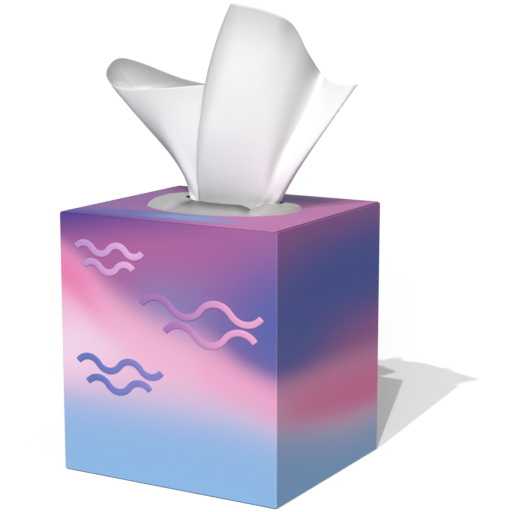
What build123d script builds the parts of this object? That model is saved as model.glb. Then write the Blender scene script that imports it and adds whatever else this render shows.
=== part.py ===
"""Upright tissue box: a printed folding carton with an oval opening lined with slit film,
the clip of interfolded tissues bent over inside it, and one tissue drawn up through the slit.

Millimetres, +Z up. The origin is the middle of the carton's underside and the front faces -Y.
"""

import os
from math import cos, pi, radians, sin

from build123d import *

os.makedirs("parts", exist_ok=True)

# Carton: one folded and glued blank of coated paperboard
carton_width = 110.0
carton_depth = 97.5
carton_height = 118.5
board = 0.45  # thickness of the paperboard
fold_inside_radius = 0.25
raw_edge_setback = 0.9  # from a fold to the cut edge of the panel glued over it
bottom_flap_length = 38.0
mitre_gap = 1.2
seam_tab_width = 12.0
seam_tab_end_gap = 3.0

# Oval opening, torn out of the top panel
oval_length = 74.8
oval_width = 54.5

# Raised lines on the front wall: ripples, pressed out from the inside of the board
line_width = 3.0
line_height = 0.5
line_swing = 52.0  # degrees off the level at which a ripple rises and falls

# Film glued under the top panel, with a slit that the tissue holds open as a lens
film = 0.2  # thickness of the film
film_margin = 6.0
film_flap_gap = 2.6
film_rim_gap = 0.3
film_rise = 4.2
film_waist = 0.28  # how far the film sinks between the two raised ends of the slit
film_lip = 0.6
slit_offset = 5.4  # to the right of the carton's middle
slit_rim_room = 3.5
slit_end_room = 5.0
slit_back_room = 3.0
finger_gap = 7.0

# Drawn tissue, gathered in the slit and standing up above the carton
sheet = 0.5  # thickness of the tissue
gather_depth = 8.4
gather_lead = 0.11  # share of the sheet by which the gather runs ahead of the rim
gather_bias = 0.6
tissue_rise = 90.1

# Clip of folded tissues, bent over the middle into two hanging halves
stack_room = 1.5
stack_headroom = 7.0
stack_flat_top = 18.0
stack_gap = 7.0
stack_gap_height = 62.0
tissue_clearance = 0.3

# Sizes and levels that follow from those above
inside_width = carton_width - 2 * board
inside_depth = carton_depth - 2 * board
corner_radius = fold_inside_radius + board
end_fold_radius = 0.9 * board
panel_underside = carton_height - board
floor_level = 2 * board
oval_frame = min(carton_width - oval_length, carton_depth - oval_width) / 2
top_flap_length = oval_frame - film_margin - film_flap_gap
line_bevel = 0.7 * line_height
film_underside = panel_underside - film
slit_half_length = oval_length / 2 - slit_rim_room - slit_offset
slit_front = gather_depth / 2 + finger_gap
slit_back = gather_depth / 2 + slit_back_room
gather_half_width = slit_half_length - slit_end_room
stack_top = panel_underside - stack_headroom
stack_width = inside_width - 2 * stack_room
stack_depth = inside_depth - 2 * stack_room


def flap_window(level, flap_length, hinge_side):
    """Window left by three mitred glue flaps in the board layer under an end panel.

    The panel itself is hinged at hinge_side (-1 front, 1 back), so that side has no flap.
    """
    window_width = carton_width - 2 * flap_length
    window_depth = inside_depth - flap_length
    with BuildSketch(Plane.XY.offset(level)) as window:
        with Locations((0, hinge_side * (inside_depth - window_depth) / 2)):
            Rectangle(window_width, window_depth)
        for side in (-1, 1):
            inner = (side * window_width / 2, -hinge_side * (inside_depth / 2 - flap_length))
            outer = (side * (inside_width - mitre_gap) / 2, -hinge_side * (inside_depth - mitre_gap) / 2)
            SlotArc(Line(inner, outer, mode=Mode.PRIVATE), mitre_gap)
    return window.sketch


def end_panel(level, hinge_side):
    """Full panel glued over the flaps, folded at hinge_side and cut short at its other edges."""
    panel_depth = carton_depth - raw_edge_setback
    with BuildSketch(Plane.XY.offset(level)) as panel:
        with Locations((0, hinge_side * raw_edge_setback / 2)):
            Rectangle(carton_width - 2 * raw_edge_setback, panel_depth)
    return panel.sketch


def ripple_line(start, swing_radius, swings):
    """Centre line of one stroke: a chain of arcs that swing up and down in turn."""
    place = start
    heading = (cos(radians(line_swing)), sin(radians(line_swing)))
    arcs = []
    for swing in range(swings):
        turn = -2 * line_swing if swing % 2 == 0 else 2 * line_swing
        arc = JernArc(place, heading, swing_radius, turn, mode=Mode.PRIVATE)
        place = arc @ 1
        heading = arc % 1
        arcs.append(arc)
    return Wire(arcs)


# Strokes in the front wall's own X and Z, placed from its edges: start, swing radius, swings
wall_left = -carton_width / 2
wall_right = carton_width / 2
ripple_lines = [
    ripple_line((wall_right - 67, carton_height - 37), 9.5, 4),
    ripple_line((wall_right - 55, carton_height - 48), 9.5, 3),
    ripple_line((wall_left + 9, carton_height - 15), 5.5, 4),
    ripple_line((wall_left + 13, carton_height - 23), 5.5, 3),
    ripple_line((wall_left + 9, carton_height - 66.5), 7.0, 4),
    ripple_line((wall_left + 14, carton_height - 75.5), 7.0, 3),
]


with BuildPart() as carton:
    # Walls and the flap layer at each end, as one folded sleeve
    with BuildSketch(Plane.XY.offset(board)):
        RectangleRounded(carton_width, carton_depth, corner_radius)
    extrude(amount=carton_height - 2 * board)
    fillet(carton.faces().filter_by(Axis.Z).edges(), radius=end_fold_radius)
    with BuildSketch(Plane.XY.offset(floor_level)):
        RectangleRounded(inside_width, inside_depth, corner_radius - board)
    extrude(amount=carton_height - 2 * floor_level, mode=Mode.SUBTRACT)
    top_window = flap_window(carton_height - floor_level, top_flap_length, hinge_side=-1)
    bottom_window = flap_window(board, bottom_flap_length, hinge_side=1)
    extrude([*top_window.faces(), *bottom_window.faces()], amount=board, mode=Mode.SUBTRACT)

    # Glue tab of the side seam, on the inside of the back wall
    with BuildSketch(Plane.XZ.offset(board - carton_depth / 2)):
        with Locations((seam_tab_width / 2 - inside_width / 2, carton_height / 2)):
            Rectangle(seam_tab_width, carton_height - 2 * floor_level - 2 * seam_tab_end_gap)
    extrude(amount=board)

    # End panels, each with a rounded fold along its hinge
    extrude(end_panel(panel_underside, hinge_side=-1), amount=board)
    extrude(end_panel(0, hinge_side=1), amount=board)
    top_fold = carton.faces().sort_by(Axis.Z)[-1].edges().sort_by(Axis.Y)[0]
    bottom_fold = carton.faces().sort_by(Axis.Z)[0].edges().sort_by(Axis.Y)[-1]
    fillet([top_fold, bottom_fold], radius=end_fold_radius)

    # Oval opening
    with BuildSketch(Plane.XY.offset(panel_underside)):
        Ellipse(oval_length / 2, oval_width / 2)
    extrude(amount=board, mode=Mode.SUBTRACT)

    # Raised lines, and the hollow behind each
    front_face = Plane.XZ.offset(carton_depth / 2)
    with BuildSketch(front_face):
        for line in ripple_lines:
            SlotArc(line, line_width)
    extrude(amount=line_height)
    chamfer(carton.faces().group_by(Axis.Y)[0].edges(), length=line_bevel)
    with BuildSketch(front_face.offset(-board)):
        for line in ripple_lines:
            SlotArc(line, line_width - 2 * board)
    extrude(amount=line_height, mode=Mode.SUBTRACT)

carton.part.label = "carton"
export_step(carton.part, "parts/carton.step")


film_steps = 24


def film_section(share, rise):
    """Closed outline of the film at one height: the oval rim at share 0, the slit's lip at 1."""
    rim = (oval_length / 2 - film_rim_gap, oval_width / 2 - film_rim_gap)
    lip_length = slit_half_length + film_lip
    points = []
    for step in range(film_steps):
        angle = 2 * pi * step / film_steps
        lip_width = (slit_front if sin(angle) < 0 else slit_back) + film_lip
        waist = 1 - film_waist * sin(pi * share) * sin(angle) ** 2
        x = (rim[0] * (1 - share) + lip_length * share) * cos(angle) + slit_offset * share
        y = (rim[1] * (1 - share) + lip_width * share) * sin(angle) * waist
        points.append((x, y))
    with BuildSketch(Plane.XY.offset(film_underside + rise)) as section:
        with BuildLine():
            Spline(points, periodic=True)
        make_face()
    return section.sketch


# How far each section lies from the rim towards the slit, and its height
film_levels = [(0, 0), (0.3, 0.55 * film_rise), (0.65, 0.85 * film_rise), (1, film_rise)]

with BuildPart() as opening_film:
    # Flat margin glued to the underside of the top panel
    with BuildSketch(Plane.XY.offset(film_underside)):
        Ellipse(oval_length / 2 + film_margin, oval_width / 2 + film_margin)
    extrude(amount=film)

    # Tent that the tissue pulls up, higher at the two ends of the slit than at its middle
    loft([film_section(share, rise) for share, rise in film_levels])
    loft([film_section(share, rise - film) for share, rise in film_levels], mode=Mode.SUBTRACT)

    # Slit
    with BuildSketch(Plane.XY.offset(film_underside)):
        with BuildLine():
            left_end = (slit_offset - slit_half_length, 0)
            right_end = (slit_offset + slit_half_length, 0)
            ThreePointArc(left_end, (slit_offset, -slit_front), right_end)
            ThreePointArc(right_end, (slit_offset, slit_back), left_end)
        make_face()
    extrude(amount=2 * film_rise, mode=Mode.SUBTRACT)

opening_film.part.label = "opening_film"
export_step(opening_film.part, "parts/opening_film.step")


with BuildPart() as tissue_stack:
    with BuildSketch(Plane.YZ) as clip_section:
        with Locations((0, floor_level)):
            Rectangle(stack_depth, stack_top - floor_level, align=(Align.CENTER, Align.MIN))
        bend_radius = (stack_depth - stack_flat_top) / 2
        fillet(clip_section.vertices().group_by(Axis.Z)[-1], radius=bend_radius)
        with Locations((0, floor_level)):
            Rectangle(
                stack_gap,
                stack_gap_height,
                align=(Align.CENTER, Align.MIN),
                mode=Mode.SUBTRACT,
            )
        with Locations((0, floor_level + stack_gap_height)):
            Circle(stack_gap / 2, mode=Mode.SUBTRACT)
    extrude(amount=stack_width / 2, both=True)

tissue_stack.part.label = "tissue_stack"
export_step(tissue_stack.part, "parts/tissue_stack.step")


# Ribs of the drawn tissue, from the rolled left edge of the front petal round the right wing, the
# back and the curled left lobe to the front of the scoop: place in the gather as shares of its
# half width and half depth, then the rim's X, Y and share of the rise, then the belly's X, fullest
# two thirds of the way up, and its Y, fullest a third of the way up, then the rim's forward curl
tissue_ribs = [
    (-0.70, -0.74, 7.6, -6.0, 1.006, -4.1, -5.0, 2.0),
    (-0.67, -0.84, 11.8, -11.6, 1.007, -2.2, -7.5, 2.5),
    (-0.52, -0.88, 19.4, -16.5, 1.005, -0.8, -8.8, 3.0),
    (-0.15, -0.88, 27.9, -16.8, 0.991, -0.5, -8.1, 3.0),
    (0.34, -0.88, 37.3, -15.4, 0.956, 0.2, -6.1, 3.0),
    (0.58, -0.86, 40.7, -8.0, 0.894, 2.6, -6.2, 1.5),
    (0.74, -0.80, 39.6, 5.0, 0.778, 3.3, -8.1, 0.0),
    (0.84, -0.66, 38.4, 20.0, 0.668, 3.7, -11.4, 0.0),
    (0.93, -0.54, 54.7, 6.0, 0.623, 0.8, -5.8, 0.0),
    (0.98, -0.34, 68.8, -6.0, 0.639, -1.2, -0.3, 0.0),
    (0.97, 0.36, 61.2, 5.0, 0.617, -2.5, 0.9, 0.0),
    (0.82, 0.70, 22.7, 33.0, 0.514, -0.5, -0.6, 0.0),
    (0.45, 0.95, 4.2, 27.8, 0.530, -5.3, 6.9, 0.0),
    (0.00, 1.00, -14.3, 22.9, 0.581, -11.8, 11.0, 4.0),
    (-0.40, 0.92, -35.2, 19.0, 0.634, -14.3, 14.1, 8.0),
    (-0.70, 0.74, -54.8, 14.6, 0.719, -14.3, 16.2, 12.0),
    (-0.86, 0.48, -63.5, 9.6, 0.736, -9.3, 15.8, 12.0),
    (-0.95, 0.18, -65.7, 3.7, 0.667, -4.8, 11.5, 8.0),
    (-0.98, -0.04, -59.8, -2.1, 0.603, -1.0, 8.5, 3.0),
    (-0.93, -0.20, -50.7, -5.6, 0.571, -2.3, 6.2, 0.5),
    (-0.80, -0.34, -32.7, -9.5, 0.578, -3.1, 0.0, 0.0),
    (-0.62, -0.40, -19.2, -10.0, 0.590, -3.9, 0.0, 0.0),
    (-0.42, -0.36, -5.8, -6.5, 0.606, -3.3, -1.2, 0.0),
    (-0.20, -0.30, 4.5, -4.6, 0.613, -2.5, -1.5, 0.0),
]
rib_shares = (0.0, 0.25, 0.5, 0.75, 0.9, 1.0)
curl_start = 0.8  # share of a rib at which its rim begins to curl
curl_way = Vector(0.6, -0.8, -0.15)
sheet_columns = 37

foot_level = stack_top + tissue_clearance
lip_level = film_underside + film_rise


def rib_point(rib, share):
    """Point on one rib, from the slit at share 0 to the rim at share 1."""
    across, through, rim_x, rim_y, rise, belly_x, belly_y, curl = rib
    lip_x = slit_offset + across * gather_half_width
    lip_y = through * gather_depth / 2
    rim_level = carton_height + rise * tissue_rise
    x = lip_x + (rim_x - lip_x) * share + belly_x * 27 / 4 * share**2 * (1 - share)
    y = lip_y + (rim_y - lip_y) * share + belly_y * 27 / 4 * share * (1 - share) ** 2
    bent = max(share - curl_start, 0) / (1 - curl_start)
    return Vector(x, y, lip_level + (rim_level - lip_level) * share) + curl_way * curl * bent**2


def sheet_row(share):
    """Even steps round the sheet at one level; nearer the slit the front petal takes more of them."""
    level = Edge.make_spline([rib_point(rib, share) for rib in tissue_ribs])
    row = []
    for column in range(sheet_columns):
        along = column / (sheet_columns - 1)
        lead = gather_lead * (1 - share) ** 2 * sin(pi * along**gather_bias)
        row.append(level.position_at(min(along + lead, 1)))
    return row


def sheet_face(rows):
    """Smooth face through a net of rows round the sheet and columns up it."""
    row_curves = [Edge.make_spline(row) for row in rows]
    column_curves = [Edge.make_spline(column) for column in zip(*rows)]
    return Face.make_gordon_surface(row_curves, column_curves, tolerance=1e-3)


with BuildPart() as pulled_tissue:
    rows = [sheet_row(share) for share in rib_shares]
    foot_row = [Vector(point.X, point.Y, foot_level) for point in rows[0]]
    outer_rows = [foot_row] + rows
    outer = sheet_face(outer_rows)
    inner = sheet_face([[point + outer.normal_at(point) * sheet for point in row] for row in outer_rows])
    cut_edges = []
    for edge in outer.edges():
        mate = inner.edges().sort_by_distance(edge.center())[0]
        cut_edges.append(Face.make_surface_from_curves(edge, mate))
    add(Solid(Shell([outer, inner] + cut_edges)))

pulled_tissue.part.label = "pulled_tissue"
export_step(pulled_tissue.part, "parts/pulled_tissue.step")
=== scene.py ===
# %% [markdown]
# # An upright tissue box
#
# The box is a printed carton with an oval opening, a film with a slit glued under the opening, a
# clip of folded tissues inside, and one tissue drawn up through the slit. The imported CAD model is
# the frame: it gives every place and size, and this lesson puts finished surfaces over it.

# %% Load the frame
import math
import random

import bmesh
import bpy
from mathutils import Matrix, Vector, noise


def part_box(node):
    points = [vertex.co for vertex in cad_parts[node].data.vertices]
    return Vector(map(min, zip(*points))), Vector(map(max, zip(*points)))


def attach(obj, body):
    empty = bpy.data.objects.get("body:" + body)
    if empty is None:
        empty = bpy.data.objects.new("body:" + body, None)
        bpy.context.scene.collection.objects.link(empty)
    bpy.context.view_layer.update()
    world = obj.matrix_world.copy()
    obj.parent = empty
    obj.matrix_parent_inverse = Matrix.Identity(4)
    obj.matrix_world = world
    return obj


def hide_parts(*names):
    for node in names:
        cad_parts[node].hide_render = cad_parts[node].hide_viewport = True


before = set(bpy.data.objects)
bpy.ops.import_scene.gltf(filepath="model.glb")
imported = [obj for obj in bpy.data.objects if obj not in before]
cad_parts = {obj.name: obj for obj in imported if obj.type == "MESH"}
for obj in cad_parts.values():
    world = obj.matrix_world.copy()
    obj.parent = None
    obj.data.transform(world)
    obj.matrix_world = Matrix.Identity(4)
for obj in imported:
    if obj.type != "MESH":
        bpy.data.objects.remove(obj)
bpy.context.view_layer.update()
MM = 0.001

# %% [markdown]
# ## Sizes
#
# The sizes are those of the CAD model, in metres. Where a node's own box gives a size it is read
# from there, and the others are written out, because a scene can't read the part's source.

# %% Sizes of the carton
board = 0.45 * MM
fold_radius = 0.7 * MM
edge_setback = 0.9 * MM
oval_length = 74.8 * MM
oval_width = 54.5 * MM
line_height = 0.5 * MM

carton_low, carton_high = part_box("carton")
width = carton_high.x - carton_low.x
depth = 2 * carton_high.y
height = carton_high.z
print("carton:", round(width / MM, 2), round(depth / MM, 2), round(height / MM, 2))

# %% [markdown]
# ## Helpers for pieces and finishes
#
# A piece is built in a bmesh, which is Blender's mesh with operators such as extrude and spin, and
# then becomes an object that rides on the box. A finish is a small tree of shader nodes. The
# functions below add one node at a time and return its output, so a finish reads like a sum.


# %% Turn a bmesh into a piece
def make_piece(name, bm, finishes, stands_for=None, sharp_angle=40):
    """Object at the origin that rides on the box, shaded smooth below the sharp angle."""
    mesh = bpy.data.meshes.new(name)
    bm.to_mesh(mesh)
    bm.free()
    for finish in finishes:
        mesh.materials.append(finish)
    mesh.shade_smooth()
    mesh.set_sharp_from_angle(angle=math.radians(sharp_angle))
    piece = bpy.data.objects.new(name, mesh)
    bpy.context.scene.collection.objects.link(piece)
    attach(piece, "root")
    if stands_for:
        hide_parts(stands_for)
    print(name, "faces:", len(mesh.polygons))
    return piece


# %% Shader nodes as small functions
def ink(code):
    """Linear colour of an RRGGBB code as a printer would name it."""
    channels = [int(code[i : i + 2], 16) / 255 for i in (0, 2, 4)]
    return tuple(c / 12.92 if c <= 0.04045 else ((c + 0.055) / 1.055) ** 2.4 for c in channels) + (1,)


class Finish:
    """A material and the short names for the nodes that these pieces need."""

    def __init__(self, name, roughness, specular=0.3):
        self.material = bpy.data.materials.new(name)
        self.material.use_nodes = True
        self.tree = self.material.node_tree
        self.shader = self.tree.nodes["Principled BSDF"]
        self.shader.inputs["Roughness"].default_value = roughness
        self.shader.inputs["Specular IOR Level"].default_value = specular
        self.place = self.node("ShaderNodeTexCoord").outputs["Object"]

    def node(self, kind, **settings):
        made = self.tree.nodes.new(kind)
        for setting, value in settings.items():
            setattr(made, setting, value)
        return made

    def feed(self, socket, value):
        if isinstance(value, bpy.types.NodeSocket):
            self.tree.links.new(value, socket)
        else:
            socket.default_value = value

    def maths(self, operation, *values):
        made = self.node("ShaderNodeMath", operation=operation)
        for socket, value in zip(made.inputs, values):
            self.feed(socket, value)
        return made.outputs[0]

    def vector(self, operation, *values):
        made = self.node("ShaderNodeVectorMath", operation=operation)
        for socket, value in zip(made.inputs, values):
            self.feed(socket, value)
        return made.outputs["Value" if operation in ("LENGTH", "DOT_PRODUCT") else "Vector"]

    def step(self, value, start, end):
        """0 at start, 1 at end and smooth between them."""
        made = self.node("ShaderNodeMapRange", interpolation_type="SMOOTHERSTEP")
        for socket, given in zip(made.inputs, (value, start, end, 0.0, 1.0)):
            self.feed(socket, given)
        return made.outputs[0]

    def blend(self, share, first, second):
        made = self.node("ShaderNodeMix", data_type="RGBA")
        self.feed(made.inputs[0], share)
        self.feed(made.inputs[6], first)
        self.feed(made.inputs[7], second)
        return made.outputs[2]

    def field(self, place, centre, reach):
        """Soft patch: 1 at its centre, 0 at its reach."""
        away = self.vector("SUBTRACT", place, tuple(c * MM for c in centre))
        share = self.vector("DIVIDE", away, tuple(r * MM for r in reach))
        return self.step(self.vector("LENGTH", share), 1.0, 0.0)

    def ramp(self, share, stops):
        made = self.node("ShaderNodeValToRGB")
        made.color_ramp.interpolation = "B_SPLINE"
        made.color_ramp.elements.remove(made.color_ramp.elements[0])
        for index, (position, code) in enumerate(stops):
            if index == 0:
                stop = made.color_ramp.elements[0]
                stop.position = position
            else:
                stop = made.color_ramp.elements.new(position)
            stop.color = ink(code)
        self.feed(made.inputs[0], share)
        return made.outputs[0]

    def noise(self, place, scale, detail=2.0):
        made = self.node("ShaderNodeTexNoise")
        self.feed(made.inputs["Vector"], place)
        made.inputs["Scale"].default_value = scale
        made.inputs["Detail"].default_value = detail
        return made.outputs["Fac"]

    def bump(self, relief, distance, strength):
        made = self.node("ShaderNodeBump")
        made.inputs["Strength"].default_value = strength
        made.inputs["Distance"].default_value = distance
        self.feed(made.inputs["Height"], relief)
        self.feed(self.shader.inputs["Normal"], made.outputs["Normal"])


# %% [markdown]
# ## Print on the carton
#
# The carton is printed with one drifting evening sky. Blue lies at the foot, then lilac and pink,
# then an edge that sinks to the right, and violet and purple above it. On a wall the print runs
# on round the corner, so the finish measures along the walls: x + y grows along the front and then
# along the side without a jump. Each colour is a soft patch, a ramp or a blend.

# %% Coated board and the places on it
print_finish = Finish("evening_sky_print", roughness=0.55, specular=0.10)
axes = print_finish.node("ShaderNodeSeparateXYZ")
print_finish.feed(axes.inputs[0], print_finish.place)
across, inwards, level = axes.outputs
along = print_finish.maths("ADD", print_finish.maths("ADD", across, inwards), depth / 2)
wall = print_finish.node("ShaderNodeCombineXYZ")
print_finish.feed(wall.inputs[0], along)
print_finish.feed(wall.inputs[2], level)
wall_place = wall.outputs[0]
round_corner = print_finish.step(along, 12 * MM, 155 * MM)
print(print_finish.material.name)

# %% [markdown]
# The foot of the wall is a ramp from the bottom up. On the side wall the pink comes lower, so the
# ramp is shifted there. A pale patch lightens the pink at the left.

# %% Foot of the sky
foot_stops = [
    (0.0, "8AB6E1"),
    (0.17, "8AB4E1"),
    (0.26, "A0B7E0"),
    (0.33, "CDBCDC"),
    (0.42, "EEBAD8"),
    (0.50, "EFB8D7"),
    (0.62, "F0B4D4"),
]
side_drop = 20 * MM
foot_level = print_finish.maths("MULTIPLY_ADD", round_corner, side_drop, level)
sky = print_finish.ramp(print_finish.maths("DIVIDE", foot_level, height), foot_stops)
pale_patch = print_finish.field(wall_place, (-58, 0, 58), (62, 1, 27))
sky = print_finish.blend(pale_patch, sky, ink("F1D2E8"))
print("foot of the sky: stops", len(foot_stops))

# %% [markdown]
# Three values change along the walls: the level of the cloud's edge, the depth over which the edge
# blends, and the strength of the glow in it. Each is a smooth curve through a few points, which are
# pairs of a walk along the walls in millimetres and the value there.

# %% Values along the walls
walk_start = -60.0
walk_length = 220.0
walk_share = print_finish.node("ShaderNodeMapRange")
walk_range = (along, walk_start * MM, (walk_start + walk_length) * MM)
for socket, value in zip(walk_share.inputs, walk_range):
    print_finish.feed(socket, value)


def along_walls(points, full):
    """Value that changes smoothly along the walls and is never above full."""
    made = print_finish.node("ShaderNodeFloatCurve")
    curve = made.mapping.curves[0]
    for spot, (walk, value) in zip((curve.points[0], curve.points[1]), (points[0], points[-1])):
        spot.location = ((walk - walk_start) / walk_length, value / full)
    for walk, value in points[1:-1]:
        curve.points.new((walk - walk_start) / walk_length, value / full)
    made.mapping.update()
    print_finish.feed(made.inputs["Value"], walk_share.outputs[0])
    return print_finish.maths("MULTIPLY", made.outputs[0], full)


edge_points = [(-60, 94), (-45, 86), (-28, 73), (-8, 63), (18, 55), (44, 48), (62, 42), (104, 35), (160, 30)]
band_points = [(-60, 20), (-28, 24), (0, 27), (18, 28), (44, 18), (62, 21), (104, 29), (160, 33)]
glow_points = [(-60, 1.0), (-48, 0.9), (-32, 0.35), (-14, 0.1), (8, 0.1)]
glow_points += [(24, 0.3), (52, 0.4), (80, 0.8), (104, 0.9), (160, 1.0)]
edge_level = along_walls([(walk, rise * MM) for walk, rise in edge_points], 0.1)
band = along_walls([(walk, reach * MM) for walk, reach in band_points], 0.04)
strength = along_walls(glow_points, 1.0)
above = print_finish.maths("SUBTRACT", level, edge_level)
print("walls: walk", walk_length, "mm")

# %% [markdown]
# The cloud is orchid. It turns periwinkle to the right and violet blue at the top left.

# %% Cloud above the edge
orchid_share = print_finish.step(along, -35 * MM, 75 * MM)
cloud = print_finish.blend(orchid_share, ink("B062A2"), ink("A965A4"))
patches = [
    ((4, 0, 76), (46, 1, 36), "8F7DB8"),
    ((66, 0, 75), (80, 1, 54), "5A65AE"),
    ((112, 0, 90), (100, 1, 42), "4C5CAC"),
    ((150, 0, 90), (60, 1, 36), "4B5BAA"),
    ((-10, 0, 125), (64, 1, 20), "84509A"),
    ((-66, 0, 122), (84, 1, 25), "443591"),
]
for centre, reach, code in patches:
    cloud = print_finish.blend(print_finish.field(wall_place, centre, reach), cloud, ink(code))
cloud_depth = 0.06
cloud = print_finish.blend(cloud_depth, cloud, ink("000000"))
sky = print_finish.blend(print_finish.step(above, -1 * MM, band), sky, cloud)
print("cloud: patches", len(patches))

# %% [markdown]
# Hot pink glows through the edge at the left and on the side wall. It fades below the edge and,
# over most of the blend, above it.

# %% Glow in the edge
below = print_finish.step(above, -17 * MM, 2 * MM)
over = print_finish.step(above, print_finish.maths("MULTIPLY", band, 0.9), 2 * MM)
glow = print_finish.maths("MULTIPLY", print_finish.maths("MULTIPLY", below, over), strength)
sky = print_finish.blend(glow, sky, ink("EA7BB0"))
print("glow: points", len(glow_points))

# %% [markdown]
# The top panel has its own patches: violet and blue towards the front, pink to the right.

# %% Top panel of the print
top_share = print_finish.step(across, -50 * MM, 40 * MM)
top = print_finish.blend(top_share, ink("9C66AC"), ink("CF80BC"))
top_patches = [
    ((-60, -54, 118), (112, 34, 40), "4C3A9C"),
    ((-16, -36, 118), (52, 12, 40), "5F6BB8"),
    ((6, -36, 118), (38, 11, 40), "80AAE4"),
    ((20, 36, 118), (30, 15, 40), "6E5EBC"),
]
for centre, reach, code in top_patches:
    top = print_finish.blend(print_finish.field(print_finish.place, centre, reach), top, ink(code))
on_top = print_finish.step(level, height - 0.3 * MM, height - 0.1 * MM)
colour = print_finish.blend(on_top, sky, top)
print("top panel: patches", len(top_patches))

# %% [markdown]
# Ink lies thinner over the fibres of the board, and the folds show a little of it.

# %% Fibres and folds
fibres = print_finish.noise(print_finish.place, 2600.0, 3.0)
colour = print_finish.blend(print_finish.maths("MULTIPLY", fibres, 0.03), colour, ink("FFFFFF"))
to_fold_x = print_finish.maths("SUBTRACT", width / 2, print_finish.maths("ABSOLUTE", across))
to_fold_y = print_finish.maths("SUBTRACT", depth / 2, print_finish.maths("ABSOLUTE", inwards))
to_fold = print_finish.maths("MAXIMUM", to_fold_x, to_fold_y)
worn = print_finish.step(to_fold, 0.45 * MM, 0.1 * MM)
colour = print_finish.blend(print_finish.maths("MULTIPLY", worn, 0.15), colour, ink("FFFFFF"))
ink_depth = 0.05
colour = print_finish.blend(ink_depth, colour, ink("000000"))
print_finish.feed(print_finish.shader.inputs["Base Color"], colour)
print_finish.bump(fibres, 0.02 * MM, 0.25)
print(print_finish.material.name, "nodes:", len(print_finish.tree.nodes))

# %% [markdown]
# The cut edges and the inside of the carton are bare board: grey-white, rough, with short fibres.

# %% Bare board
board_finish = Finish("bare_board", roughness=0.85, specular=0.15)
fibres = board_finish.noise(board_finish.place, 1800.0, 4.0)
shade = board_finish.blend(fibres, ink("C9C4BC"), ink("E6E2DC"))
board_finish.feed(board_finish.shader.inputs["Base Color"], shade)
board_finish.bump(fibres, 0.05 * MM, 0.4)
print(board_finish.material.name)

# %% [markdown]
# ## Carton
#
# A carton is one blank of board: walls folded at four corners, glue flaps folded in at the ends,
# and an end panel over them. A cube with its upright edges bevelled makes the walls. Its ends are
# opened, the rims are extruded inwards as flaps, and a Solidify modifier gives the board its
# thickness and puts bare board on every cut edge. Normals weighted by face size keep the panels flat.


# %% Walls and flaps
def fold_in(bm, level, flap):
    """Extrudes the rim at one level inwards as glue flaps."""
    rim = [edge for edge in bm.edges if edge.is_boundary and abs(edge.verts[0].co.z - level) < 0.01 * MM]
    made = bmesh.ops.extrude_edge_only(bm, edges=rim)["geom"]
    inner = [vert for vert in made if isinstance(vert, bmesh.types.BMVert)]
    scale = (1 - 2 * flap / width, 1 - 2 * flap / depth, 1)
    bmesh.ops.scale(bm, vec=scale, verts=inner)
    return rim


carton = bmesh.new()
bmesh.ops.create_cube(carton, size=1)
bmesh.ops.scale(carton, vec=(width, depth, height - 2 * board), verts=carton.verts)
bmesh.ops.translate(carton, vec=(0, 0, height / 2), verts=carton.verts)
upright = [edge for edge in carton.edges if abs(edge.verts[0].co.z - edge.verts[1].co.z) > board]
bmesh.ops.bevel(
    carton, geom=upright, offset=fold_radius, segments=4, profile=0.5, affect="EDGES", material=-1
)
ends = [face for face in carton.faces if abs(face.normal.z) > 0.9]
bmesh.ops.delete(carton, geom=ends, context="FACES_ONLY")
top_flap = 9 * MM
bottom_flap = 38 * MM
rims = fold_in(carton, height - board, top_flap) + fold_in(carton, board, bottom_flap)
bmesh.ops.bevel(
    carton, geom=rims, offset=0.4 * MM, segments=3, profile=0.5, affect="EDGES", material=-1
)
print("walls and flaps: faces", len(carton.faces))

# %% [markdown]
# The top panel starts as the rim of the oval opening, an ellipse. Its edges are extruded out to
# the panel's outline, so all the faces run from the oval to the edge. The front edge is then spun
# round the fold into the front wall. The other three edges are cut short of the folds below.


# %% Top panel with its oval
def panel_outline(point, low, high):
    """Where a line from the middle of the oval through a point leaves the panel."""
    reach = []
    for axis in (0, 1):
        if abs(point[axis]) > 1e-9:
            limit = high[axis] if point[axis] > 0 else low[axis]
            reach.append(limit / point[axis])
    return Vector(point) * min(reach)


top_panel = bmesh.new()
bmesh.ops.create_circle(top_panel, cap_ends=False, radius=0.5, segments=128)
bmesh.ops.scale(top_panel, vec=(oval_length, oval_width, 1), verts=top_panel.verts)
panel_low = Vector((edge_setback - width / 2, board - depth / 2))
panel_high = Vector((width / 2 - edge_setback, depth / 2 - edge_setback))
made = bmesh.ops.extrude_edge_only(top_panel, edges=top_panel.edges[:])["geom"]
outer = [vert for vert in made if isinstance(vert, bmesh.types.BMVert)]
for vert in outer:
    spot = panel_outline(vert.co.xy, panel_low, panel_high)
    vert.co = (spot.x, spot.y, 0)
for corner_x in (panel_low.x, panel_high.x):
    for corner_y in (panel_low.y, panel_high.y):
        corner = Vector((corner_x, corner_y, 0))
        min(outer, key=lambda vert: (vert.co - corner).length).co = corner
bmesh.ops.translate(top_panel, vec=(0, 0, height), verts=top_panel.verts)
hinge = [
    edge
    for edge in top_panel.edges
    if edge.is_boundary and all(abs(vert.co.y - panel_low.y) < 0.001 * MM for vert in edge.verts)
]
hinge_verts = list({vert for edge in hinge for vert in edge.verts})
bmesh.ops.spin(
    top_panel,
    geom=hinge_verts + hinge,
    cent=(0, panel_low.y, height - board),
    axis=(1, 0, 0),
    angle=math.pi / 2,
    steps=4,
)
bmesh.ops.recalc_face_normals(top_panel, faces=top_panel.faces)
if sum(face.normal.z * face.calc_area() for face in top_panel.faces) < 0:
    bmesh.ops.reverse_faces(top_panel, faces=top_panel.faces)
print("top panel: faces", len(top_panel.faces))
panel_mesh = bpy.data.meshes.new("top_panel")
top_panel.to_mesh(panel_mesh)
top_panel.free()
carton.from_mesh(panel_mesh)
bpy.data.meshes.remove(panel_mesh)

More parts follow.
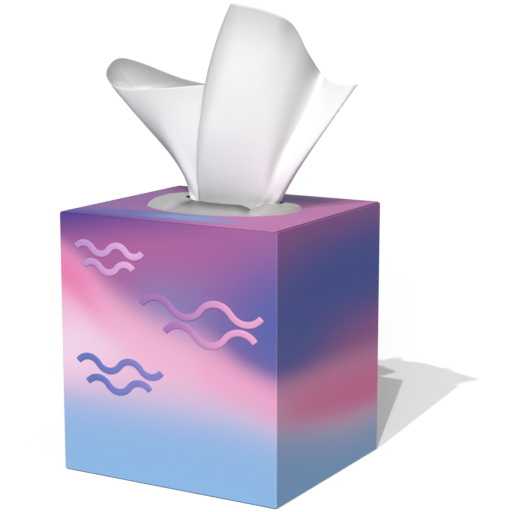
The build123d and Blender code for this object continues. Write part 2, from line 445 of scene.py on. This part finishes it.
# %% Bottom panel and the finished carton
made = bmesh.ops.create_grid(carton, x_segments=1, y_segments=1, size=0.5)["verts"]
bmesh.ops.scale(carton, vec=(width - 2 * edge_setback, depth - edge_setback, 1), verts=made)
bmesh.ops.translate(carton, vec=(0, edge_setback / 2, 0), verts=made)
bottom_faces = list({face for vert in made for face in vert.link_faces})
bmesh.ops.reverse_faces(carton, faces=[face for face in bottom_faces if face.normal.z > 0])
carton_piece = make_piece(
    "carton_board", carton, [print_finish.material, board_finish.material], "carton"
)
thickness = carton_piece.modifiers.new("board", "SOLIDIFY")
thickness.thickness = board
thickness.offset = -1
thickness.material_offset = 1
flat_panels = carton_piece.modifiers.new("flat_panels", "WEIGHTED_NORMAL")
flat_panels.keep_sharp = True
flat_panels.weight = 100

# %% [markdown]
# ## Raised lines on the front
#
# Ripples are pressed out of the front wall. Each is a ribbon: one short edge that is spun to and
# fro round a chain of centres. Bevelled corners round its ends, an extrusion lifts it off the
# wall, and a bevel along the lifted outline gives the soft shoulder of pressed board.


# %% Inks of the raised lines
def line_finish(name, left_code, right_code, start, end):
    """Ink that fades from one colour to another between two places along the wall."""
    finish = Finish(name, roughness=0.5, specular=0.2)
    parts = finish.node("ShaderNodeSeparateXYZ")
    finish.feed(parts.inputs[0], finish.place)
    share = finish.step(parts.outputs[0], start * MM, end * MM)
    grain = finish.noise(finish.place, 2600.0, 3.0)
    mixed = finish.blend(share, ink(left_code), ink(right_code))
    mixed = finish.blend(finish.maths("MULTIPLY", grain, 0.04), mixed, ink("FFFFFF"))
    finish.feed(finish.shader.inputs["Base Color"], mixed)
    finish.bump(grain, 0.02 * MM, 0.25)
    return finish.material


line_finishes = [
    line_finish("rose_line", "A06AB0", "E3A0CA", -8, 46),
    line_finish("lilac_line", "B98CC8", "D9A6D2", -46, -12),
    line_finish("periwinkle_line", "5A6BB4", "7B78C0", -46, -4),
]
print("inks:", [finish.name for finish in line_finishes])


# %% Ribbons, lifted and bevelled
line_width = 3.0 * MM
line_swing = math.radians(52)
sunk = 0.05 * MM


def ripple_line(bm, start, swing_radius, swings, finish_index):
    """One raised line on the front wall, in millimetres from the middle of the wall's foot."""
    others = set(bm.faces)
    place = Vector((start[0] * MM, sunk - depth / 2, start[1] * MM))
    heading = line_swing
    up = Vector((-math.sin(heading), 0, math.cos(heading)))
    first = [bm.verts.new(place - up * line_width / 2), bm.verts.new(place + up * line_width / 2)]
    tip = first + [bm.edges.new(first)]
    for swing in range(swings):
        side = 1 if swing % 2 else -1
        centre = place + up * side * swing_radius * MM
        turn = side * 2 * line_swing
        spun = bmesh.ops.spin(bm, geom=tip, cent=centre, axis=(0, -1, 0), angle=turn, steps=20)
        tip = spun["geom_last"]
        heading += turn
        up = Vector((-math.sin(heading), 0, math.cos(heading)))
        place = centre - up * side * swing_radius * MM
    last = [part for part in tip if isinstance(part, bmesh.types.BMVert)]
    bmesh.ops.bevel(
        bm,
        geom=first + last,
        offset=line_width / 2,
        segments=8,
        profile=0.5,
        affect="VERTICES",
        clamp_overlap=True,
        material=-1,
    )
    flat = [face for face in bm.faces if face not in others]
    lifted = bmesh.ops.extrude_face_region(bm, geom=flat)["geom"]
    crown = {part for part in lifted if isinstance(part, bmesh.types.BMFace)}
    crown_verts = [part for part in lifted if isinstance(part, bmesh.types.BMVert)]
    bmesh.ops.translate(bm, vec=(0, -line_height - sunk, 0), verts=crown_verts)
    crown_edges = {edge for face in crown for edge in face.edges}
    outline = [edge for edge in crown_edges if sum(face in crown for face in edge.link_faces) == 1]
    bmesh.ops.bevel(
        bm, geom=outline, offset=0.42 * MM, segments=3, profile=0.5, affect="EDGES", material=-1
    )
    for face in bm.faces:
        if face not in others:
            face.material_index = finish_index


lines = bmesh.new()
wall_left = -width / 2 / MM
wall_right = width / 2 / MM
wall_top = height / MM
ripple_line(lines, (wall_right - 67, wall_top - 37), 9.5, 4, 0)
ripple_line(lines, (wall_right - 55, wall_top - 48), 9.5, 3, 0)
ripple_line(lines, (wall_left + 9, wall_top - 15), 5.5, 4, 1)
ripple_line(lines, (wall_left + 13, wall_top - 23), 5.5, 3, 1)
ripple_line(lines, (wall_left + 9, wall_top - 66.5), 7.0, 4, 2)
ripple_line(lines, (wall_left + 14, wall_top - 75.5), 7.0, 3, 2)
bmesh.ops.recalc_face_normals(lines, faces=lines.faces)
make_piece("ripple_lines", lines, line_finishes)

# %% [markdown]
# ## Film under the opening
#
# The film is thin, frosted and slit. It swells into an egg at the right end of the slit and a lobe
# at the left end. Between them it stays low, with one crease along it. Towards the slit its colour
# is darkened, a painted shade for the dark inside and the shadow at the slit, so the film's own UV
# map holds two marks: how far a place lies in a swelling, and how far it lies from the rim towards the slit.

# %% Frosted film
film_finish = Finish("frosted_film", roughness=0.32, specular=0.5)
film_finish.shader.inputs["Alpha"].default_value = 0.72
haze = film_finish.noise(film_finish.place, 260.0, 3.0)
frost_and_painted_shade = film_finish.blend(haze, ink("B8B8B6"), ink("CACAC8"))
slit_marks = film_finish.node("ShaderNodeSeparateXYZ")
film_finish.feed(slit_marks.inputs[0], film_finish.node("ShaderNodeUVMap", uv_map="slit").outputs[0])
# Painted shade: the film's colour darkens to dark grey towards the slit, except on the swellings.
unswollen = film_finish.maths("SUBTRACT", 1.0, slit_marks.outputs[0])
painted_slit_shade = film_finish.maths("MULTIPLY", film_finish.step(slit_marks.outputs[1], 0.2, 1.0), unswollen)
frost_and_painted_shade = film_finish.blend(painted_slit_shade, frost_and_painted_shade, ink("626261"))
film_finish.feed(film_finish.shader.inputs["Base Color"], frost_and_painted_shade)
film_finish.bump(haze, 0.12 * MM, 0.5)
print(film_finish.material.name)

# %% Sizes of the film
film_low, film_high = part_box("opening_film")
slit_offset = 5.4 * MM
slit_half = 28.5 * MM
right_lip_inset = 2.8 * MM
left_lip_inset = 4.2 * MM
slit_front = 11.2 * MM
slit_back = 7.2 * MM
film_margin = 6.0 * MM
glued_share = 0.16
rim_gap = 0.3 * MM
film_level = film_low.z + 0.1 * MM
print("film:", [round(side / MM, 1) for side in film_high - film_low])

# %% [markdown]
# The egg is half an ellipsoid, long in the depth of the box. The lobe covers the left end, and its
# edges run from the rim to the slit. The flaps between rise to their crease and then on to the lip.


# %% Swellings and flap, in millimetres
def smooth(value):
    """0 to 1 with a smooth start and end."""
    value = min(max(value, 0.0), 1.0)
    return value * value * (3 - 2 * value)


egg_place = (28.9, -3.3)
egg_lean = (0.27, 0.96)
egg_half_length = 15
egg_half_width = 8
egg_foot = 0.7
egg_rise = 3.6
lobe_rise = 4.0
crease_share = 0.4
crease_rise = 1.4
lip_rise = 3.6
print("egg:", 2 * egg_half_length, "x", 2 * egg_half_width, "mm")


def egg_share(x, y):
    """Height share of the egg at a place, 0 outside it."""
    away = (x / MM - egg_place[0], y / MM - egg_place[1])
    long_way = (egg_lean[0] * away[0] + egg_lean[1] * away[1]) / egg_half_length
    short_way = (egg_lean[1] * away[0] - egg_lean[0] * away[1]) / egg_half_width
    return math.sqrt(max(0.0, 1 - long_way**2 - short_way**2))


def flap_rise(cosine, way):
    """Rise of a flap, lower beside the egg."""
    if way < crease_share:
        rise = crease_rise * way / crease_share
    else:
        rise = crease_rise + (lip_rise - crease_rise) * (way - crease_share) / (1 - crease_share)
    return rise * (1 - 0.6 * smooth((cosine - 0.35) / 0.3))


# %% [markdown]
# A grid is bent round the oval: one way runs round the opening, the other from the glued margin to
# the lip of the slit.


# %% Bend a grid into the film
def film_point(turn, share):
    """Place on the film and its two marks, from the turn round the opening and the share inwards."""
    angle = 2 * math.pi * turn
    cosine = math.cos(angle)
    sine = math.sin(angle)
    if share < glued_share:
        grow = film_margin * (1 - share / glued_share)
        spot = Vector(((oval_length / 2 + grow) * cosine, (oval_width / 2 + grow) * sine, film_level))
        return spot, 1.0, 0.0
    way = (share - glued_share) / (1 - glued_share)
    rim = Vector((oval_length / 2 - rim_gap, oval_width / 2 - rim_gap))
    lip_width = slit_front if sine < 0 else slit_back
    lip_length = slit_half - (right_lip_inset if cosine > 0 else left_lip_inset)
    x = (rim.x * (1 - way) + lip_length * way) * cosine + slit_offset * way
    y = (rim.y * (1 - way) + lip_width * way) * sine
    lobe = smooth((-cosine - 0.44 - 0.2 * way) / 0.07)
    dome = math.sin(math.pi / 2 * min(way / 0.5, 1.0)) ** 0.7
    rise = lobe_rise * dome * lobe + flap_rise(cosine, way) * (1 - lobe)
    egg = egg_share(x, y)
    rise = max(rise, egg_foot + egg_rise * egg if egg > 0 else 0.0)
    crinkle = 0.05 * math.sin(23 * angle + 5 * way) * math.sin(math.pi * way)
    spot = Vector((x, y, film_level + (rise + crinkle) * MM))
    return spot, max(lobe, min(egg * 4, 1.0)), way


film = bmesh.new()
bmesh.ops.create_grid(film, x_segments=288, y_segments=44, size=0.5)
bent = {vert: film_point(vert.co.x + 0.5, vert.co.y + 0.5) for vert in film.verts}
marks = film.loops.layers.uv.new("slit")
for face in film.faces:
    for loop in face.loops:
        loop[marks].uv = bent[loop.vert][1:]
for vert in film.verts:
    vert.co = bent[vert][0]
bmesh.ops.remove_doubles(film, verts=film.verts, dist=0.01 * MM)
bmesh.ops.recalc_face_normals(film, faces=film.faces)
if sum(face.normal.z for face in film.faces) < 0:
    bmesh.ops.reverse_faces(film, faces=film.faces)
film_piece = make_piece("slit_film", film, [film_finish.material], "opening_film", 80)
film_wall = film_piece.modifiers.new("film", "SOLIDIFY")
film_wall.thickness = 0.1 * MM
film_wall.offset = 0

# %% [markdown]
# ## Tissue paper
#
# Facial tissue is soft, white and creped: fine ridges run across the sheet from the blade that
# lifts it off the drum. It scatters light, so its shadows stay pale.

# %% Creped tissue
tissue_finish = Finish("creped_tissue", roughness=1.0, specular=0.0)
stretched = tissue_finish.vector("MULTIPLY", tissue_finish.place, (0.35, 0.35, 1.0))
crepe = tissue_finish.noise(stretched, 1500.0, 3.0)
cloudy = tissue_finish.noise(tissue_finish.place, 90.0, 2.0)
white = tissue_finish.blend(cloudy, ink("EDEDED"), ink("F1F1F1"))
tissue_finish.feed(tissue_finish.shader.inputs["Base Color"], white)
tissue_finish.shader.inputs["Subsurface Weight"].default_value = 0.15
tissue_finish.shader.inputs["Subsurface Radius"].default_value = (1.0, 1.0, 1.0)
tissue_finish.shader.inputs["Subsurface Scale"].default_value = 0.8 * MM
tissue_finish.bump(crepe, 0.06 * MM, 0.3)
print(tissue_finish.material.name)

# %% [markdown]
# ## Clip of folded tissues
#
# Inside, the folded sheets hang bent over the middle. Each bent layer is a cube with its two top
# edges bevelled round, opened below and at the ends, and given the thickness of some sheets.

# %% Nested layers
stack_low, stack_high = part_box("tissue_stack")
random.seed(4)
layers = 12
stack = bmesh.new()
inner_half = 3.6 * MM
inner_crest = 66.5 * MM
bend_radius = 37.8 * MM
layer_depth = (stack_high.y - inner_half) / layers
layer_height = (stack_high.z - inner_crest) / layers
for layer in range(layers):
    half_depth = stack_high.y - layer * layer_depth
    crest = stack_high.z - layer * layer_height
    trim = random.uniform(0.0, 0.7) * MM
    made = bmesh.ops.create_cube(stack, size=1)["verts"]
    size = (2 * stack_high.x - 2 * trim, 2 * half_depth, crest - stack_low.z)
    bmesh.ops.scale(stack, vec=size, verts=made)
    bmesh.ops.translate(stack, vec=(0, 0, (crest + stack_low.z) / 2), verts=made)
    bend = [
        edge
        for edge in {edge for vert in made for edge in vert.link_edges}
        if all(vert.co.z > crest - 0.01 * MM for vert in edge.verts)
        and abs(edge.verts[0].co.x - edge.verts[1].co.x) > stack_high.x
    ]
    radius = min(bend_radius, half_depth - 0.5 * MM)
    faces = {face for vert in made for face in vert.link_faces}
    closed = [face for face in faces if face.normal.z < -0.9 or abs(face.normal.x) > 0.9]
    bmesh.ops.delete(stack, geom=closed, context="FACES_ONLY")
    bmesh.ops.bevel(
        stack, geom=bend, offset=radius, segments=12, profile=0.5, affect="EDGES", material=-1
    )
bmesh.ops.recalc_face_normals(stack, faces=stack.faces)
stack_piece = make_piece("tissue_clip", stack, [tissue_finish.material], "tissue_stack")
sheets = stack_piece.modifiers.new("sheets", "SOLIDIFY")
sheets.thickness = layer_depth - 0.25 * MM
sheets.offset = -1

# %% [markdown]
# ## Drawn tissue
#
# One sheet is gathered in the slit and opens out above it: a tall petal in front, a wing to the
# right, and a scoop that curls over to the left. A grid takes this form from a few ribs that rise
# from the slit to the rim. Across the ribs each level is one smooth curve, so the sheet has no
# corners, and small ripples and pleats are added along its normals.
#
# A rib is its place in the slit, as shares of the gather's half width and half depth, then the
# rim's place in millimetres and its height as a share of the rise. Then come the bellies: sideways,
# fullest two thirds up, and outwards, fullest one third up. The last value is how far the rim curls.

# %% Ribs of the sheet
ribs = [
    (-0.70, -0.74, 7.6, -6.0, 1.006, -4.1, -5.0, 2.0),
    (-0.67, -0.84, 11.8, -11.6, 1.007, -2.2, -7.5, 2.5),
    (-0.52, -0.88, 19.4, -16.5, 1.005, -0.8, -8.8, 3.0),
    (-0.15, -0.88, 27.9, -16.8, 0.991, -0.5, -8.1, 3.0),
    (0.34, -0.88, 37.3, -15.4, 0.956, 0.2, -6.1, 3.0),
    (0.58, -0.86, 40.2, -7.4, 0.896, 3.1, -7.0, 1.0),
    (0.73, -0.80, 41.7, 1.5, 0.776, 2.6, -7.3, 0.0),
    (0.84, -0.62, 40.8, 15.4, 0.669, 1.9, -7.9, 0.0),
    (0.89, -0.58, 47.8, 9.1, 0.642, 0.7, -5.6, 0.0),
    (0.94, -0.50, 55.6, 4.3, 0.625, 0.4, -4.2, 0.0),
    (0.98, -0.30, 64.5, 2.6, 0.631, 0.3, -3.1, 0.0),
    (0.97, 0.36, 59.8, 7.9, 0.614, -1.5, -1.0, 0.0),
    (0.82, 0.70, 22.7, 33.0, 0.514, -0.5, -0.6, 0.0),
    (0.45, 0.95, 4.2, 27.8, 0.530, -5.3, 6.9, 0.0),
    (0.00, 1.00, -14.3, 22.9, 0.581, -11.8, 11.0, 4.0),
    (-0.40, 0.92, -35.2, 19.0, 0.634, -14.3, 14.1, 8.0),
    (-0.70, 0.74, -54.8, 14.6, 0.719, -14.3, 16.2, 12.0),
    (-0.86, 0.48, -63.5, 9.6, 0.736, -9.3, 15.8, 12.0),
    (-0.95, 0.18, -65.7, 3.7, 0.667, -4.8, 11.5, 8.0),
    (-0.98, -0.04, -59.8, -2.1, 0.603, -1.0, 8.5, 3.0),
    (-0.93, -0.20, -50.7, -5.6, 0.571, -2.3, 6.2, 0.5),
    (-0.80, -0.34, -32.7, -9.5, 0.578, -3.1, 0.0, 0.0),
    (-0.62, -0.40, -19.2, -10.0, 0.590, -3.9, 0.0, 0.0),
    (-0.42, -0.36, -5.8, -6.5, 0.606, -3.3, -1.2, 0.0),
    (-0.20, -0.30, 4.5, -4.6, 0.613, -2.5, -1.5, 0.0),
]
gather_half_width = 23.5
gather_half_depth = 4.2
tissue_rise = 90.1
lip_level = film_high.z / MM
carton_top = height / MM
gather_lead = 0.11
curl_start = 0.8
curl_way = Vector((0.6, -0.8, -0.15))
print("ribs:", len(ribs))


def rib_point(rib, share):
    """Point on one rib in millimetres, from the slit at share 0 to the rim at share 1."""
    across, through, rim_x, rim_y, rise, belly_x, belly_y, curl = rib
    lip = Vector((slit_offset / MM + across * gather_half_width, through * gather_half_depth, lip_level))
    rim = Vector((rim_x, rim_y, carton_top + rise * tissue_rise))
    sideways = 27 / 4 * share**2 * (1 - share)
    outwards = 27 / 4 * share * (1 - share) ** 2
    belly = Vector((belly_x * sideways, belly_y * outwards, 0))
    bent = max(0.0, (share - curl_start) / (1 - curl_start)) ** 2
    return lip.lerp(rim, share) + belly + curl_way * curl * bent


def curve_through(points, steps=14):
    """Smooth line through points, as many short chords."""
    line = []
    for index in range(len(points) - 1):
        before = points[max(index - 1, 0)]
        start = points[index]
        end = points[index + 1]
        after = points[min(index + 2, len(points) - 1)]
        for step in range(steps):
            t = step / steps
            line.append(
                0.5
                * (
                    2 * start
                    + (end - before) * t
                    + (2 * before - 5 * start + 4 * end - after) * t**2
                    + (3 * start - before - 3 * end + after) * t**3
                )
            )
    line.append(points[-1])
    return line


def even_places(line, shares):
    """Points at the given shares of a line's length."""
    reached = [0.0]
    for start, end in zip(line, line[1:]):
        reached.append(reached[-1] + (end - start).length)
    places = []
    index = 0
    for share in shares:
        goal = min(max(share, 0.0), 1.0) * reached[-1]
        while index < len(line) - 2 and reached[index + 1] < goal:
            index += 1
        step = (goal - reached[index]) / max(reached[index + 1] - reached[index], 1e-9)
        places.append(line[index].lerp(line[index + 1], step))
    return places


# %% Bend a grid into the sheet
columns = 240
rows = 96
foot_rows = 8
tissue_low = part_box("pulled_tissue")[0]
foot = lip_level - tissue_low.z / MM
tissue = bmesh.new()
bmesh.ops.create_grid(tissue, x_segments=columns, y_segments=rows, size=0.5)
net = {}
for vert in tissue.verts:
    net[round((vert.co.x + 0.5) * columns), round((vert.co.y + 0.5) * rows)] = vert
for row in range(rows + 1):
    share = max(0.0, (row - foot_rows) / (rows - foot_rows))
    shares = []
    for column in range(columns + 1):
        along = column / columns
        shares.append(along + gather_lead * (1 - share) ** 2 * math.sin(math.pi * along**0.6))
    places = even_places(curve_through([rib_point(rib, share) for rib in ribs]), shares)
    if row == 0:
        lip_places = places
        next_places = even_places(curve_through([rib_point(rib, 0.04) for rib in ribs]), shares)
    for column, place in enumerate(places):
        if row < foot_rows:
            down = foot * (1 - row / foot_rows)
            lean = (next_places[column] - lip_places[column]) / (next_places[column].z - lip_level)
            ease = down - down * down / (2 * foot)
            place = Vector((place.x - lean.x * ease, place.y - lean.y * ease, lip_level - down))
        net[column, row].co = place * MM
bmesh.ops.recalc_face_normals(tissue, faces=tissue.faces)
tissue.normal_update()
moves = {}
for (column, row), vert in net.items():
    share = max(0.0, (row - foot_rows) / (rows - foot_rows))
    pleat = 0.08 * math.sin(2 * math.pi * column / columns * 30) * (1 - share) ** 4
    ripple = 0.25 * noise.noise(vert.co / (18 * MM)) * smooth(share * 3)
    moves[vert] = vert.normal * (pleat + ripple) * MM
for vert, move in moves.items():
    vert.co += move
tissue_piece = make_piece(
    "drawn_tissue", tissue, [tissue_finish.material], "pulled_tissue", 80
)
plies = tissue_piece.modifiers.new("plies", "SOLIDIFY")
plies.thickness = 0.15 * MM
plies.offset = 0

# %% [markdown]
# ## Floor, light and camera
#
# The box stands on a pale floor. Three lamps shine from the front, a little to the right. Two are
# high and sharp, and their shadows fall behind the box as two tones. The third is low and soft and
# lights the front and the side. The floor and the background are white to the camera and grey to
# everything else, so they add no glare.

# %% Floor
floor_mesh = bpy.data.meshes.new("floor")
floor_build = bmesh.new()
bmesh.ops.create_grid(floor_build, x_segments=1, y_segments=1, size=20)
floor_build.to_mesh(floor_mesh)
floor_build.free()
floor = bpy.data.objects.new("floor", floor_mesh)
bpy.context.scene.collection.objects.link(floor)
floor_finish = bpy.data.materials.new("pale_floor")
floor_finish.use_nodes = True
floor_mesh.materials.append(floor_finish)
floor_nodes = floor_finish.node_tree.nodes
floor_links = floor_finish.node_tree.links
floor_nodes.remove(floor_nodes["Principled BSDF"])


def seen_by_camera(nodes, links):
    """1 for rays that show the background: camera, mirror and glass rays."""
    path = nodes.new("ShaderNodeLightPath")
    first = nodes.new("ShaderNodeMath")
    first.operation = "MAXIMUM"
    links.new(path.outputs["Is Camera Ray"], first.inputs[0])
    links.new(path.outputs["Is Glossy Ray"], first.inputs[1])
    second = nodes.new("ShaderNodeMath")
    second.operation = "MAXIMUM"
    links.new(first.outputs[0], second.inputs[0])
    links.new(path.outputs["Is Transmission Ray"], second.inputs[1])
    return second.outputs[0]


pale = floor_nodes.new("ShaderNodeBsdfDiffuse")
pale.inputs["Color"].default_value = (1.24, 1.24, 1.24, 1)
lift = floor_nodes.new("ShaderNodeEmission")
lift.inputs["Strength"].default_value = 0.17
shown = floor_nodes.new("ShaderNodeAddShader")
floor_links.new(pale.outputs[0], shown.inputs[0])
floor_links.new(lift.outputs[0], shown.inputs[1])
dull = floor_nodes.new("ShaderNodeBsdfDiffuse")
dull.inputs["Color"].default_value = (0.35, 0.35, 0.35, 1)
choice = floor_nodes.new("ShaderNodeMixShader")
floor_links.new(seen_by_camera(floor_nodes, floor_links), choice.inputs[0])
floor_links.new(dull.outputs[0], choice.inputs[1])
floor_links.new(shown.outputs[0], choice.inputs[2])
floor_links.new(choice.outputs[0], floor_nodes["Material Output"].inputs["Surface"])
print(floor_finish.name)

# %% World
world = bpy.data.worlds.new("studio")
bpy.context.scene.world = world
world.use_nodes = True
world_nodes = world.node_tree.nodes
world_links = world.node_tree.links
fill = world_nodes["Background"]
fill.inputs["Color"].default_value = (1, 1, 1, 1)
sky_place = world_nodes.new("ShaderNodeTexCoord")
facing = world_nodes.new("ShaderNodeVectorMath")
facing.operation = "DOT_PRODUCT"
facing.inputs[1].default_value = (0.70, -0.50, 0.50)
world_links.new(sky_place.outputs["Generated"], facing.inputs[0])
grade = world_nodes.new("ShaderNodeMapRange")
for socket, value in zip(grade.inputs[1:], (-1.0, 1.0, 0.02, 0.22)):
    socket.default_value = value
world_links.new(facing.outputs["Value"], grade.inputs[0])
world_links.new(grade.outputs[0], fill.inputs["Strength"])
white_room = world_nodes.new("ShaderNodeBackground")
white_room.inputs["Color"].default_value = (1, 1, 1, 1)
room = world_nodes.new("ShaderNodeMixShader")
world_links.new(seen_by_camera(world_nodes, world_links), room.inputs[0])
world_links.new(fill.outputs[0], room.inputs[1])
world_links.new(white_room.outputs[0], room.inputs[2])
world_links.new(room.outputs[0], world_nodes["World Output"].inputs["Surface"])
print(world.name)


# %% Lamps
def sun(name, towards, strength, softness):
    """Sun lamp that shines from a direction, given as a vector towards the lamp."""
    lamp = bpy.data.lights.new(name, "SUN")
    lamp.energy = strength
    lamp.angle = math.radians(softness)
    holder = bpy.data.objects.new(name, lamp)
    holder.rotation_mode = "QUATERNION"
    holder.rotation_quaternion = Vector(towards).to_track_quat("Z", "Y")
    bpy.context.scene.collection.objects.link(holder)
    print(name, strength)


sun("key_lamp", (0.064, -0.732, 0.679), 1.05, 0.6)
sun("second_lamp", (0.242, -0.699, 0.673), 1.05, 0.6)
sun("front_lamp", (0.42, -0.88, 0.208), 1.33, 30)

# %% Camera
azimuth = math.radians(29.96)
elevation = math.radians(10.40)
back = Vector(
    (
        math.sin(azimuth) * math.cos(elevation),
        -math.cos(azimuth) * math.cos(elevation),
        math.sin(elevation),
    )
)
lens = bpy.data.cameras.new("camera")
lens.lens = 109.76
lens.sensor_width = 36
camera = bpy.data.objects.new("camera", lens)
camera.location = (0.35984, -0.59471, 0.22324)
camera.rotation_mode = "QUATERNION"
camera.rotation_quaternion = (-back).to_track_quat("-Z", "Y")
bpy.context.scene.collection.objects.link(camera)
bpy.context.scene.camera = camera
bpy.context.scene.view_settings.view_transform = "Standard"
print("camera:", lens.lens, "mm lens")
